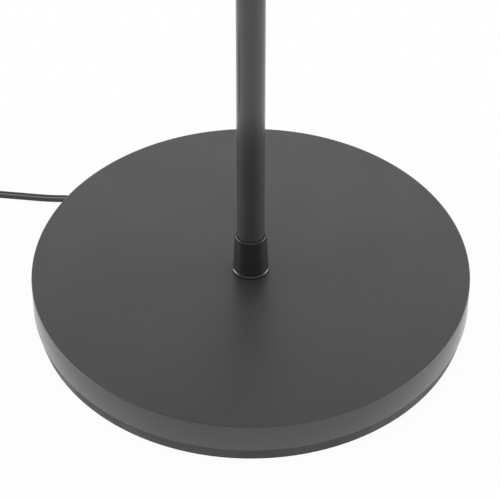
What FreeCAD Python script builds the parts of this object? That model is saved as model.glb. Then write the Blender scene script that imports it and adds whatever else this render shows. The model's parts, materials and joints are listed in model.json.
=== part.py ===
"""Gooseneck reading floor lamp: weighted round foot, screwed pole, flexible neck, spun shade, mains lead.

Millimetres, +Z up. The origin is the centre of the foot where it stands on the floor, and the shade
reaches towards -Y. Every sub-part is written as its own STEP file, named after the node.
"""
import FreeCAD
import Part
import math
import os

V = FreeCAD.Vector
TURN = 360.0
X_AXIS, Y_AXIS, Z_AXIS = V(1, 0, 0), V(0, 1, 0), V(0, 0, 1)
ORIGIN = V(0, 0, 0)

# ---- driving dimensions -------------------------------------------------------------------------
# foot
FOOT_R = 127.0               # painted steel cover, a ten inch disc
FOOT_TOP = 27.4              # height of the cover's flat top
COVER_T = 1.5                # sheet of the cover
COVER_LIP = 8.8              # the cover's wall ends this far above the floor
COVER_EDGE_R = 0.7           # rounding of the cover's top edge
PAD_T, PAD_R = 0.8, 125.0
WEIGHT_R, WEIGHT_TOP = 125.3, 13.0   # cast disc, whose rim shows below the cover
HUB_R, RIB_T, RIBS = 34.0, 5.0, 6
RIM_RING = (109.0, 116.0)    # ring of the casting that carries the cover
NUT_POCKET_R, NUT_POCKET_TOP = 22.0, 19.0
WASHER_T, STAR_T, NUT_T = 1.6, 0.8, 5.0
CORD_ANGLE = 141.0           # where the lead leaves the foot, degrees from +X
CORD_EXIT_Z = 4.8
CHANNEL_W, CHANNEL_TOP = 7.4, 8.4    # groove under the weight for the lead

# collar and pole
COLLAR_H = 26.7
COLLAR_FOOT_R, COLLAR_LOW_R, COLLAR_TOP_R = 10.7, 10.3, 9.25
COLLAR_LIP_H = 1.2
POLE_R, POLE_WALL = 8.0, 1.0
SECTION_L, SECTIONS = 400.0, 3
INSERT_L = 18.0
THREAD_R, NIPPLE_BORE_R = 4.8, 3.3
STUD_L = 30.0
SLIDE_GAP = 0.05             # between a part and the hole it sits in
LEAD_R = 1.6                 # the pair of wires inside the lamp
LEAD_GAP = 0.6               # the lead stops this far short of each hinge

# neck
NECK_R, NECK_VALLEY_R = 6.0, 5.3
LINK_L, LINKS, LINK_RIBS = 22.0, 17, 4
HINGE_GAP = 1.9              # between the rims of two links
STUB_R, STUB_REACH = 3.6, 2.5        # the spigot, and how far it passes the hinge
CUP_R, CUP_DEPTH = 4.35, 4.0         # the hollow that takes the spigot
NECK_BORE_R = 2.7
LEAN_EVERY = 3               # every third hinge, from the first, leans sideways; the others bend forward
REST_BEND = 16.5             # a forward hinge is bent this far as stored, so that the head hangs straight down,
FIRST_BEND, LAST_BEND = 12.5, 2.5    # but the neck runs nearly straight out of its two fittings
CAP_H, NECK_FERRULE_H = 20.0, 15.0
CAP_R, FERRULE_R = 9.0, 7.2

# head, measured from the last hinge along the neck
HEAD_FERRULE_END, SPIGOT_END, SPIGOT_R = 18.0, 27.0, 4.9
CUP_TOP_R, CUP_WIDE_R, CUP_END, CUP_T = 12.0, 21.5, 60.0, 1.2
VENTS, VENT_W, VENT_L = 6, 2.0, 8.0
HOLDER_R, HOLDER_START, HOLDER_END, HOLDER_BORE_R = 17.5, 23.4, 68.0, 14.0
HOLDER_FLOOR = 31.0
SHELL_R, SHELL_T = 13.8, 0.4
SHADE_TOP_R, SHADE_MOUTH_R, SHADE_END, SHADE_T = 22.5, 70.0, 180.0, 0.8
SHADE_BAND_R, SHADE_BAND_H = 68.5, 11.0      # the flank is a cone down to a short steep band
CLAMP_H, CLAMP_R, CLAMP_NOTCHES = 5.0, 20.3, 12
SWITCH_AT = 45.0             # the switch's distance along the head
BARREL_R, STEM_R = 3.25, 2.0
KNOB_R, KNOB_FROM, KNOB_TO, KNOB_FLUTES = 5.6, 27.2, 41.0, 12
BULB_LOW, BULB_COLLAR, BULB_WAIST, BULB_JOIN, BULB_WIDE, BULB_END = 33.4, 60.0, 68.5, 102.0, 112.0, 142.0
BULB_CREST_R, BULB_ROOT_R, BULB_JOIN_R, BULB_R = 13.1, 12.5, 28.2, 30.0

# mains lead, a flat twin flex: its width is the tube's diameter
CORD_R = 2.6
CORD_Z = 2.7                 # height of a stretch that lies on the floor
CORD_START = 125.0           # where the free stretch begins, inside the bushing
BUSHING_IN, BUSHING_OUT = 13.0, 5.0
COIL_CENTRE = (-212.0, 54.8)
COIL_R, COIL_PITCH, COIL_RISE = 43.0, 5.7, 5.7
HALF_TURNS_IN, HALF_TURNS_OUT = 8, 7
TAIL = ((-24.0, 0.0), (-42.0, -1.9), (-54.0, -1.9))     # the end that leaves the coil, as steps in X and Z
PLUG_L, PLUG_W, PLUG_H = 34.0, 25.0, 13.0
BLADE_L, BLADE_T, BLADE_GAP = 17.5, 1.5, 12.7
BLADE_W = (6.4, 7.9)         # live and neutral blades


# ---- helpers ------------------------------------------------------------------------------------
def outline(points):
    """A closed wire in the XZ plane. A point is (r, z); (r, z, rm, zm) is reached by an arc through (rm, zm)."""
    edges = []
    for start, end in zip(points, points[1:] + points[:1]):
        a, b = V(start[0], 0, start[1]), V(end[0], 0, end[1])
        if len(end) == 4:
            edges.append(Part.Arc(a, V(end[2], 0, end[3]), b).toShape())
        else:
            edges.append(Part.LineSegment(a, b).toShape())
    return Part.Wire(edges)


def lathe(points):
    """A solid turned about Z from its half outline."""
    return Part.Face(outline(points)).revolve(ORIGIN, Z_AXIS, TURN)


def tube(outer, inner, low, high):
    return lathe([(inner, low), (outer, low), (outer, high), (inner, high)])


def rod(radius, low, high):
    return Part.makeCylinder(radius, high - low, V(0, 0, low))


def hexagon(across_flats, low, high):
    corner = across_flats / math.sqrt(3)
    points = [V(corner * math.cos(math.radians(60 * k)), corner * math.sin(math.radians(60 * k)), low)
              for k in range(6)]
    return Part.Face(Part.makePolygon(points + points[:1])).extrude(V(0, 0, high - low))


def turned(shape, angle, axis=Z_AXIS, centre=ORIGIN):
    copy = shape.copy()
    copy.rotate(centre, axis, angle)
    return copy


def moved(shape, offset):
    copy = shape.copy()
    copy.translate(offset)
    return copy


def rounded_path(points, share=0.45):
    """Straight runs joined by tangent arcs, each as large as its two runs allow, with the arcs' radii."""
    edges, radii, last = [], [], points[0]
    for before, corner, after in zip(points, points[1:], points[2:]):
        run_in, run_out = (before - corner), (after - corner)
        turn = math.pi - run_in.getAngle(run_out)
        cut = share * min(run_in.Length, run_out.Length)
        radius = cut / math.tan(turn / 2)
        start = corner + run_in.normalize() * cut
        end = corner + run_out.normalize() * cut
        inward = (start + end) * 0.5 - corner
        middle = corner + inward.normalize() * (math.hypot(radius, cut) - radius)
        edges += [Part.LineSegment(last, start).toShape(), Part.Arc(start, middle, end).toShape()]
        radii.append(radius)
        last = end
    edges.append(Part.LineSegment(last, points[-1]).toShape())
    return edges, radii


def swept(edges, radius):
    """A round tube along a path."""
    path = Part.Wire(edges)
    start = edges[0].valueAt(edges[0].FirstParameter)
    ahead = edges[0].tangentAt(edges[0].FirstParameter)
    ring = Part.Wire(Part.makeCircle(radius, start, ahead))
    solid = path.makePipeShell([ring], True, False)
    return solid if solid.ShapeType == "Solid" else solid.Solids[0]


def check_tube(name, solid, edges, radius):
    long = sum(e.Length for e in edges)
    share = solid.Volume / (math.pi * radius ** 2 * long)
    print(f"{name}: {long:.0f} mm long, volume {share:.3f} of section times length, valid {solid.isValid()}")


def polar(radius, degrees, z):
    a = math.radians(degrees)
    return V(radius * math.cos(a), radius * math.sin(a), z)


# ---- foot ---------------------------------------------------------------------------------------
def base_cover():
    """A drawn steel pan turned upside down, with a tight edge."""
    r, top, edge, t = FOOT_R, FOOT_TOP, COVER_EDGE_R, COVER_T
    soft = edge * (1 - math.sqrt(0.5))
    hole = THREAD_R + 0.4
    return lathe([(hole, top), (r - edge, top), (r, top - edge, r - soft, top - soft),
                  (r, COVER_LIP + 0.4), (r - 0.4, COVER_LIP), (r - t, COVER_LIP),
                  (r - t, top - t), (hole, top - t)])


def base_weight():
    """A cast disc with a hub, a ring and ribs that carry the cover, a nut pocket and a groove for the lead."""
    r, under, hole = WEIGHT_R, FOOT_TOP - COVER_T, THREAD_R + 0.6
    plate = lathe([(hole, PAD_T), (r - 0.6, PAD_T), (r, PAD_T + 0.6), (r, WEIGHT_TOP - 1), (r - 1, WEIGHT_TOP),
                   (hole, WEIGHT_TOP)])
    hub = lathe([(hole, WEIGHT_TOP - 1), (HUB_R + 3, WEIGHT_TOP - 1), (HUB_R + 3, WEIGHT_TOP),
                 (HUB_R, under), (hole, under)])
    ring = tube(RIM_RING[1], RIM_RING[0], WEIGHT_TOP - 1, under)
    rib = Part.makeBox(RIM_RING[0] - HUB_R + 4, RIB_T, under - WEIGHT_TOP + 1,
                       V(HUB_R - 2, -RIB_T / 2, WEIGHT_TOP - 1))
    ribs = [turned(rib, CORD_ANGLE + TURN * (k + 0.5) / RIBS) for k in range(RIBS)]
    groove = Part.makeBox(r + 1, CHANNEL_W, CHANNEL_TOP, V(0, -CHANNEL_W / 2, 0))
    seat = Part.makeBox(7, CHANNEL_W + 2, CHANNEL_TOP + 0.4, V(FOOT_R - BUSHING_IN - 1, -CHANNEL_W / 2 - 1, 0))
    cuts = [rod(NUT_POCKET_R, 0, NUT_POCKET_TOP)] + [turned(cut, CORD_ANGLE) for cut in (groove, seat)]
    return plate.fuse([hub, ring] + ribs).removeSplitter().cut(Part.makeCompound(cuts))


def base_pad():
    """Soft foam disc that the lamp stands on."""
    return lathe([(0, 0), (PAD_R - 0.3, 0), (PAD_R, 0.3), (PAD_R, PAD_T), (0, PAD_T)])


def threaded_tube(low, high):
    """Hollow lamp rod with its ends chamfered."""
    return lathe([(NIPPLE_BORE_R, low), (THREAD_R - 0.5, low), (THREAD_R, low + 0.5), (THREAD_R, high - 0.5),
                  (THREAD_R - 0.5, high), (NIPPLE_BORE_R, high)])


def nut_top():
    return NUT_POCKET_TOP - WASHER_T - STAR_T


def nipple_foot():
    """The rod's lower end, just proud of its nut."""
    return nut_top() - NUT_T - 0.8


def base_nipple():
    """Hollow rod from the nut up into the pole's foot."""
    return threaded_tube(nipple_foot(), FOOT_TOP + INSERT_L - 2)


def base_washer():
    return tube(11.0, THREAD_R + 0.2, NUT_POCKET_TOP - WASHER_T, NUT_POCKET_TOP)


def star_washer():
    """Toothed washer that bites over the nut."""
    top = NUT_POCKET_TOP - WASHER_T
    ring = tube(7.0, THREAD_R + 0.2, top - STAR_T, top)
    tooth = Part.makeBox(2.6, 1.4, STAR_T, V(6.6, -0.7, top - STAR_T))
    return ring.fuse([turned(tooth, 30.0 * k) for k in range(12)]).removeSplitter()


def base_nut():
    """Hexagon nut with its corners turned down."""
    low, high, hole = nut_top() - NUT_T, nut_top(), THREAD_R + SLIDE_GAP
    turned_down = lathe([(hole, low), (7.6, low), (8.8, low + 0.8), (8.8, high), (hole, high)])
    return hexagon(15.0, low, high).common(turned_down)


# ---- collar and pole ----------------------------------------------------------------------------
def pole_collar():
    """Tapered moulded ferrule round the pole's foot, with a lip at the bottom."""
    z0, z1, bore = FOOT_TOP, FOOT_TOP + COLLAR_H, POLE_R + SLIDE_GAP
    return lathe([(bore, z0), (COLLAR_FOOT_R - 0.4, z0), (COLLAR_FOOT_R, z0 + 0.4),
                  (COLLAR_FOOT_R, z0 + COLLAR_LIP_H - 0.4), (COLLAR_LOW_R, z0 + COLLAR_LIP_H),
                  (COLLAR_TOP_R, z1 - 0.5), (COLLAR_TOP_R - 0.5, z1), (bore, z1)])


def pole_section(low, high):
    return lathe([(POLE_R - POLE_WALL, low), (POLE_R - 0.4, low), (POLE_R, low + 0.4), (POLE_R, high - 0.4),
                  (POLE_R - 0.4, high), (POLE_R - POLE_WALL, high)])


def section_ends():
    return [FOOT_TOP + SECTION_L * k for k in range(SECTIONS + 1)]


def pole_inserts():
    """Tapped plugs pressed into both ends of every section, each with a crimped waist."""
    ends = section_ends()
    outer, waist, hole = POLE_R - POLE_WALL, POLE_R - POLE_WALL - 0.4, THREAD_R + SLIDE_GAP
    plug = lathe([(hole, 0), (outer, 0), (outer, 5), (waist, 5.6), (waist, 12.4), (outer, 13),
                  (outer, INSERT_L), (hole, INSERT_L)])
    places = ends[:-1] + [high - INSERT_L for high in ends[1:]]
    return Part.makeCompound([moved(plug, V(0, 0, z)) for z in places])


def pole_studs():
    """Hollow studs that screw one section to the next."""
    return Part.makeCompound([threaded_tube(z - STUD_L / 2, z + STUD_L / 2) for z in section_ends()[1:-1]])


def pole_top_cap():
    """Turned cap that closes the pole and carries the neck."""
    z, hole = section_ends()[-1], THREAD_R + SLIDE_GAP
    return lathe([(hole, z), (POLE_R, z), (CAP_R, z + 1), (CAP_R, z + 11),
                  (FERRULE_R, z + CAP_H - 1, CAP_R - 0.35, z + 15.8), (FERRULE_R, z + CAP_H), (hole, z + CAP_H)])


def neck_nipple():
    """Hollow stud from the pole's top insert through the cap into the neck's lower ferrule."""
    z = section_ends()[-1]
    return threaded_tube(z - 14, z + CAP_H + 7)


def pole_lead_edges():
    """The lead inside the lamp: along the groove, round the corner under the nipple, up to the neck."""
    out, level = polar(1, CORD_ANGLE, 0), V(0, 0, CORD_EXIT_Z)
    bend = nipple_foot() - CORD_EXIT_Z
    short = bend * (1 - math.sqrt(0.5))
    start, middle, corner = level + out * bend, level + out * short + V(0, 0, short), level + V(0, 0, bend)
    return [Part.LineSegment(level + out * CORD_START, start).toShape(),
            Part.Arc(start, middle, corner).toShape(),
            Part.LineSegment(corner, V(0, 0, neck_start() - LEAD_GAP)).toShape()]


# ---- neck ---------------------------------------------------------------------------------------
def neck_start():
    """The first hinge, above the pole's cap and the neck's lower ferrule."""
    return section_ends()[-1] + CAP_H + NECK_FERRULE_H + HINGE_GAP / 2


def hinge_frames():
    """Where each hinge is as stored, and how far the neck leans forward after it."""
    frames, point, lean = [], V(0, 0, neck_start()), 0.0
    for k in range(LINKS + 1):
        if k % LEAN_EVERY:
            lean += {1: FIRST_BEND, LINKS: LAST_BEND}.get(k, REST_BEND)
        turn = FreeCAD.Rotation(X_AXIS, lean)
        frames.append(FreeCAD.Placement(point, turn))
        point = point + turn.multVec(V(0, 0, LINK_L))
    return frames


def placed(shape, frame):
    """The shape built along +Z from a hinge, laid where that hinge is."""
    return shape.transformed(frame.toMatrix(), True)


def spigot(at):
    """Outline points of an end that reaches past the next hinge."""
    return [(STUB_R, at - HINGE_GAP / 2), (STUB_R, at + STUB_REACH - 0.5), (STUB_R - 0.5, at + STUB_REACH),
            (NECK_BORE_R, at + STUB_REACH)]


def lead_stretch(start, end):
    """The lead between two hinges, which stops just short of both."""
    return rod(LEAD_R, start + LEAD_GAP, end - LEAD_GAP)


def neck_link():
    """One stretch of the wound neck: round ribs outside, a hollow below and a spigot above, and its lead."""
    low, high = HINGE_GAP / 2, LINK_L - HINGE_GAP / 2
    pitch = (high - low) / LINK_RIBS
    points = [(CUP_R, low), (NECK_VALLEY_R, low)]
    for k in range(LINK_RIBS):
        z = low + pitch * k
        points.append((NECK_R, z + pitch / 2))
        points.append((NECK_VALLEY_R, z + pitch))
    link = lathe(points + spigot(LINK_L) + [(NECK_BORE_R, CUP_DEPTH), (CUP_R, CUP_DEPTH)])
    return Part.makeCompound([link, lead_stretch(0, LINK_L)])


def neck_base_ferrule():
    """Crimped fitting that joins the neck to the pole's cap."""
    high, hole = neck_start() - HINGE_GAP / 2, THREAD_R + SLIDE_GAP
    low, step = high - NECK_FERRULE_H, FERRULE_R - 0.6
    points = [(hole, low), (FERRULE_R, low), (FERRULE_R, high - 6), (step, high - 5.4), (step, high - 4.6),
              (FERRULE_R, high - 4), (FERRULE_R, high - 1.5), (step, high)]
    return lathe(points + spigot(neck_start()) + [(NECK_BORE_R, low + 8), (hole, low + 8)])


# ---- head, built along +Z from the last hinge ---------------------------------------------------
def head_ferrule():
    """Fitting at the neck's upper end, with a threaded spigot that passes into the cup."""
    low, end, step = HINGE_GAP / 2, HEAD_FERRULE_END, FERRULE_R - 0.6
    return lathe([(CUP_R, low), (step, low), (FERRULE_R, low + 1.5), (FERRULE_R, low + 4), (step, low + 4.6),
                  (step, low + 5.4), (FERRULE_R, low + 6), (FERRULE_R, end - 3), (9.0, end - 1), (9.0, end),
                  (SPIGOT_R, end), (SPIGOT_R, SPIGOT_END - 0.4), (SPIGOT_R - 0.4, SPIGOT_END),
                  (NIPPLE_BORE_R, SPIGOT_END), (NIPPLE_BORE_R, CUP_DEPTH), (CUP_R, CUP_DEPTH)])


def socket_cup():
    """Spun cap over the lampholder, vented round its shoulder, with a hole for the switch."""
    top, end, t, wide, shoulder = HEAD_FERRULE_END, CUP_END, CUP_T, CUP_WIDE_R, 30.0
    hole = SPIGOT_R + 0.1
    body = lathe([(hole, top), (CUP_TOP_R, top), (wide, shoulder, wide - 2.6, top + 4), (wide, end),
                  (wide - t, end), (wide - t, shoulder), (CUP_TOP_R, top + t, wide - 3.6, top + 5.0),
                  (hole, top + t)])
    vent = Part.makeBox(12, VENT_W, VENT_L, V(wide - 7, -VENT_W / 2, shoulder + 3))
    vents = [turned(vent, 30 + TURN * k / VENTS) for k in range(VENTS)]
    switch_hole = Part.makeCylinder(BARREL_R + 0.2, 12, V(wide - 7, 0, SWITCH_AT), X_AXIS)
    return body.cut(Part.makeCompound(vents + [switch_hole]))


def cup_nut():
    """Hexagon nut inside the cup that holds it to the ferrule."""
    low, high = HEAD_FERRULE_END + CUP_T, HOLDER_START
    return hexagon(14.0, low, high).cut(rod(SPIGOT_R + SLIDE_GAP, low - 1, high + 1))


def lampholder_body():
    """Moulded holder: a hub on the spigot, a closed floor and a deep well for the bulb."""
    start, hole = HOLDER_START, SPIGOT_R + SLIDE_GAP
    body = lathe([(hole, start), (9.0, start), (9.0, start + 2.6), (HOLDER_R - 2, start + 2.6),
                  (HOLDER_R, start + 4.6), (HOLDER_R, HOLDER_END), (HOLDER_BORE_R, HOLDER_END),
                  (HOLDER_BORE_R, HOLDER_FLOOR), (2.2, HOLDER_FLOOR), (2.2, SPIGOT_END + 0.4),
                  (hole, SPIGOT_END + 0.4)])
    return body.cut(Part.makeCylinder(BARREL_R + SLIDE_GAP, 3, V(HOLDER_R - 1.6, 0, SWITCH_AT), X_AXIS))


def lampholder_shell():
    """Thin brass screw shell."""
    return tube(SHELL_R, SHELL_R - SHELL_T, HOLDER_FLOOR + 2, HOLDER_END - 8)


def centre_contact():
    """Sprung brass leaf on the holder's floor, folded up to the bulb's tip."""
    t, wide = 0.5, 5.0
    foot = Part.makeBox(6.0, wide, t, V(2.6, -wide / 2, HOLDER_FLOOR))
    rise = Part.makeBox(t, wide, BULB_LOW - HOLDER_FLOOR, V(8.1, -wide / 2, HOLDER_FLOOR))
    leaf = Part.makeBox(11.0, wide, t, V(-2.4, -wide / 2, BULB_LOW - t))
    return foot.fuse([rise, leaf]).removeSplitter()


def head_lead():
    return rod(LEAD_R, LEAD_GAP, HOLDER_FLOOR + 0.4)


def shade():
    """Spun cone with a flat seat and a short steep band at its mouth."""
    t, seat, end, band = SHADE_T, CUP_END, SHADE_END, SHADE_END - SHADE_BAND_H
    return lathe([(HOLDER_R + 0.2, seat), (SHADE_TOP_R, seat), (SHADE_BAND_R, band), (SHADE_MOUTH_R, end),
                  (SHADE_MOUTH_R - t, end), (SHADE_BAND_R - t, band), (SHADE_TOP_R - t * 0.6, seat + t),
                  (HOLDER_R + 0.2, seat + t)])


def shade_ring():
    """Screwed ring that clamps the shade's seat, notched for the fingers."""
    low = CUP_END + SHADE_T
    high = low + CLAMP_H
    ring = tube(CLAMP_R, HOLDER_R + SLIDE_GAP, low, high)
    notch = Part.makeBox(2, 3, 3, V(CLAMP_R - 1.1, -1.5, high - 3))
    notches = [turned(notch, TURN * k / CLAMP_NOTCHES) for k in range(CLAMP_NOTCHES)]
    return ring.cut(Part.makeCompound(notches))


def bulb_cap():
    """Screw cap of the bulb, with rounded turns and a solder tip."""
    turns, low, high = 6, BULB_LOW + 1.6, BULB_COLLAR
    pitch = (high - low - 6.0) / turns
    points = [(0, BULB_LOW), (3.6, BULB_LOW + 0.2), (4.8, low), (BULB_ROOT_R, low + 1)]
    for k in range(turns):
        z = low + 2.0 + pitch * k
        points += [(BULB_CREST_R, z + pitch * 0.5), (BULB_ROOT_R, z + pitch)]
    return lathe(points + [(BULB_ROOT_R, high), (BULB_ROOT_R - 0.8, high), (BULB_ROOT_R - 0.8, low + 3),
                           (0, low + 3)])


def bulb_housing():
    """Moulded lower half of the bulb, hollow, with its light board across the top."""
    neck, wall = BULB_ROOT_R + 0.4, 2.0
    body = lathe([(0, BULB_COLLAR), (neck, BULB_COLLAR), (neck, BULB_WAIST), (neck + 2.6, BULB_WAIST + 2.5),
                  (BULB_JOIN_R, BULB_JOIN - 2, 23.5, 83.0), (BULB_JOIN_R, BULB_JOIN), (0, BULB_JOIN)])
    room = lathe([(0, BULB_COLLAR + wall), (neck - wall, BULB_COLLAR + wall), (neck - wall, BULB_WAIST + 3),
                  (BULB_JOIN_R - wall - 1, BULB_JOIN - wall, 20.5, 84.0), (0, BULB_JOIN - wall)])
    return body.cut(room)


def bulb_globe():
    """Opal dome of the bulb, an even shell."""
    t, inner = 1.2, BULB_R - 1.2
    outer_diagonal, inner_diagonal = BULB_R * math.sqrt(0.5), inner * math.sqrt(0.5)
    return lathe([(BULB_JOIN_R - 0.2, BULB_JOIN), (BULB_R, BULB_WIDE, 29.5, 106.8),
                  (0, BULB_END, outer_diagonal, BULB_WIDE + outer_diagonal),
                  (0, BULB_END - t), (inner, BULB_WIDE, inner_diagonal, BULB_WIDE + inner_diagonal),
                  (BULB_JOIN_R - 0.2 - t, BULB_JOIN, 29.5 - t, 106.8)])


def switch_bushing():
    """Threaded barrel of the rotary switch, from the holder out through the cup."""
    barrel = Part.makeCylinder(BARREL_R, 9, V(HOLDER_R - 1.5, 0, SWITCH_AT), X_AXIS)
    return barrel.cut(Part.makeCylinder(STEM_R + SLIDE_GAP, 20, V(10, 0, SWITCH_AT), X_AXIS))


def switch_nut():
    """Thin nut that holds the switch's barrel to the cup."""
    nut = moved(turned(hexagon(9.6, CUP_WIDE_R + 0.1, CUP_WIDE_R + 2.6), 90, Y_AXIS), V(0, 0, SWITCH_AT))
    return nut.cut(Part.makeCylinder(BARREL_R + SLIDE_GAP, 30, V(10, 0, SWITCH_AT), X_AXIS))


def switch_knob():
    """Fluted knob, turned about +Z and laid along +X."""
    long, deep = KNOB_TO - KNOB_FROM, 8.0
    body = lathe([(0, 0), (3.4, 0), (KNOB_R - 0.6, 1.2), (KNOB_R, 3.0), (KNOB_R - 0.5, long - 1.4),
                  (KNOB_R - 1.6, long), (0, long)])
    flute = Part.makeCylinder(0.7, long, V(KNOB_R + 0.25, 0, 2.4))
    flutes = [turned(flute, TURN * k / KNOB_FLUTES) for k in range(KNOB_FLUTES)]
    body = body.cut(Part.makeCompound(flutes + [rod(STEM_R, -1, deep)]))
    return moved(turned(body, 90, Y_AXIS), V(KNOB_FROM, 0, SWITCH_AT))


def knob_stem():
    start, deep = HOLDER_R + 1.0, 8.0
    return Part.makeCylinder(STEM_R, KNOB_FROM + deep - start, V(start, 0, SWITCH_AT), X_AXIS)


# ---- mains lead ---------------------------------------------------------------------------------
def cord_bushing():
    """Tapered strain relief, with a flange that sits in its seat behind the weight's rim."""
    bore = CORD_R + SLIDE_GAP
    body = lathe([(bore, -BUSHING_IN), (4.4, -BUSHING_IN), (4.4, 5 - BUSHING_IN), (3.4, 5 - BUSHING_IN),
                  (3.4, 0), (3.3, BUSHING_OUT - 0.6), (3.0, BUSHING_OUT), (bore, BUSHING_OUT)])
    body = turned(body, 90, Y_AXIS)
    room = Part.makeBox(40, 20, CHANNEL_TOP - PAD_T - 0.1, V(-20, -10, PAD_T + 0.05 - CORD_EXIT_Z))
    return moved(turned(body.common(room), CORD_ANGLE), polar(FOOT_R, CORD_ANGLE, CORD_EXIT_Z))


def cord_route():
    """Corners of the free stretch, from inside the bushing across the floor to the start of the coil."""
    cx, cy = COIL_CENTRE
    return [polar(CORD_START, CORD_ANGLE, CORD_EXIT_Z), polar(138.9, CORD_ANGLE, CORD_EXIT_Z),
            V(-123.0, 90.4, CORD_Z), V(-143.0, 93.0, CORD_Z), V(-166.0, 95.8, CORD_Z),
            V(-190.0, cy + COIL_R, CORD_Z), V(cx, cy + COIL_R, CORD_Z)]


def coil_edges():
    """Half turns that spiral in on the floor, climb on to themselves and spiral out, and the end's run."""
    cx, cy = COIL_CENTRE
    edges, point, side, radius = [], V(cx, cy + COIL_R, CORD_Z), 1, COIL_R
    for k in range(HALF_TURNS_IN + 1 + HALF_TURNS_OUT):
        rise = COIL_RISE if k == HALF_TURNS_IN else 0.0
        end = point + V(0, -2 * side * radius, rise)
        middle = (point + end) * 0.5 + V(-side * math.hypot(radius, rise / 2), 0, 0)
        edges.append(Part.Arc(point, middle, end).toShape())
        point, side = end, -side
        radius += COIL_PITCH / 2 if k >= HALF_TURNS_IN else -COIL_PITCH / 2
    tail, radii = rounded_path([point] + [point + V(x, 0, z) for x, z in TAIL])
    print("cord's tail, radii", [round(r, 1) for r in radii])
    return edges + tail, point + V(TAIL[-1][0], 0, TAIL[-1][1])


def least_gap(edges, radius, apart=40.0):
    """The least clear distance between turns of the coil, measured on points."""
    points = [e.valueAt(e.FirstParameter + (e.LastParameter - e.FirstParameter) * i / 24)
              for e in edges for i in range(24)]
    along = [0.0]
    for a, b in zip(points, points[1:]):
        along.append(along[-1] + a.distanceToPoint(b))
    pairs = ((i, j) for i in range(0, len(points), 2) for j in range(i + 1, len(points)))
    return min(points[i].distanceToPoint(points[j]) for i, j in pairs if along[j] - along[i] > apart) - 2 * radius


def plug_section(at, wide, high):
    """A rounded oblong across the plug, at a distance from the lead's end."""
    y, z = wide / 2, high / 2
    cut = min(y, z) * 0.45
    points = [V(at, -y + cut, -z), V(at, y - cut, -z), V(at, y, -z + cut), V(at, y, z - cut),
              V(at, y - cut, z), V(at, -y + cut, z), V(at, -y, z - cut), V(at, -y, -z + cut)]
    return Part.makePolygon(points + points[:1])


def plug_body(tail):
    """Moulded plug narrowed to the lead, with three finger grooves on each side."""
    grip = Part.makeLoft([plug_section(0, 7.6, 7.0), plug_section(-9, 12.0, 9.0),
                          plug_section(-20, PLUG_W - 4, PLUG_H - 1.4), plug_section(-26, PLUG_W, PLUG_H),
                          plug_section(-PLUG_L, PLUG_W, PLUG_H)], True, True)
    grooves = [Part.makeBox(1.2, 30, 1.2, V(-12.0 - 3.0 * k, -15, side * 6.0 - 0.6))
               for k in range(3) for side in (-1, 1)]
    return moved(grip.cut(Part.makeCompound(grooves)), tail)


def plug_blades(tail):
    """Two flat blades with cut corners and a hole in each."""
    blades, tip = [], -PLUG_L - BLADE_L
    for side, wide in zip((-1, 1), BLADE_W):
        blade = Part.makeBox(BLADE_L + 6, BLADE_T, wide, V(tip, -BLADE_T / 2, -wide / 2))
        corners = [e for e in blade.Edges if e.BoundBox.XMax < tip + 0.01 and e.BoundBox.YLength > 1]
        blade = blade.makeChamfer(1.4, corners).cut(Part.makeCylinder(1.6, 6, V(tip + 4.6, -3, 0), Y_AXIS))
        blades.append(moved(blade, tail + V(0, side * BLADE_GAP / 2, 0)))
    return Part.makeCompound(blades)


# ---- the whole lamp -----------------------------------------------------------------------------
def foot_and_pole():
    made = {"base_cover": base_cover(), "base_weight": base_weight(), "base_pad": base_pad(),
            "base_nipple": base_nipple(), "base_washer": base_washer(), "star_washer": star_washer(),
            "base_nut": base_nut(), "pole_collar": pole_collar(), "pole_inserts": pole_inserts(),
            "pole_studs": pole_studs(), "pole_top_cap": pole_top_cap(), "neck_nipple": neck_nipple(),
            "neck_base_ferrule": neck_base_ferrule(), "cord_bushing": cord_bushing()}
    ends = section_ends()
    for name, low, high in zip(("pole_lower", "pole_middle", "pole_upper"), ends, ends[1:]):
        made[name] = pole_section(low, high)
    edges = pole_lead_edges()
    made["pole_lead"] = swept(edges, LEAD_R)
    check_tube("pole_lead", made["pole_lead"], edges, LEAD_R)
    return made


def neck_and_head():
    frames = hinge_frames()
    link = neck_link()
    made = {f"neck_link_{k + 1:02d}": placed(link, frame) for k, frame in enumerate(frames[:-1])}
    makers = (head_ferrule, socket_cup, cup_nut, lampholder_body, lampholder_shell, centre_contact, head_lead,
              shade, shade_ring, bulb_cap, bulb_housing, bulb_globe, switch_bushing, switch_nut, switch_knob,
              knob_stem)
    for maker in makers:
        made[maker.__name__] = placed(maker(), frames[-1])
    return made


def mains_lead():
    free, radii = rounded_path(cord_route())
    print("free cord, radii", [round(r, 1) for r in radii])
    turns, tail = coil_edges()
    print(f"least gap between the coil's turns {least_gap(turns, CORD_R):.2f} mm")
    made = {"cord_free": swept(free, CORD_R), "cord_coil": swept(turns, CORD_R)}
    check_tube("cord_free", made["cord_free"], free, CORD_R)
    check_tube("cord_coil", made["cord_coil"], turns, CORD_R)
    made["plug_blades"] = plug_blades(tail)
    made["plug_body"] = plug_body(tail).cut(made["plug_blades"])
    return made


def main():
    os.makedirs("parts", exist_ok=True)
    made = {**foot_and_pole(), **neck_and_head(), **mains_lead()}
    for name, shape in made.items():
        if not shape.isValid():
            print("not a valid solid:", name)
        shape.exportStep(os.path.join("parts", f"{name}.step"))
    print(len(made), "sub-parts written")


main()
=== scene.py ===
"""The gooseneck reading floor lamp, dressed: foot, pole, flexible neck, head, mains lead."""
import json
import math

import bpy
from mathutils import Matrix, Vector


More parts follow.
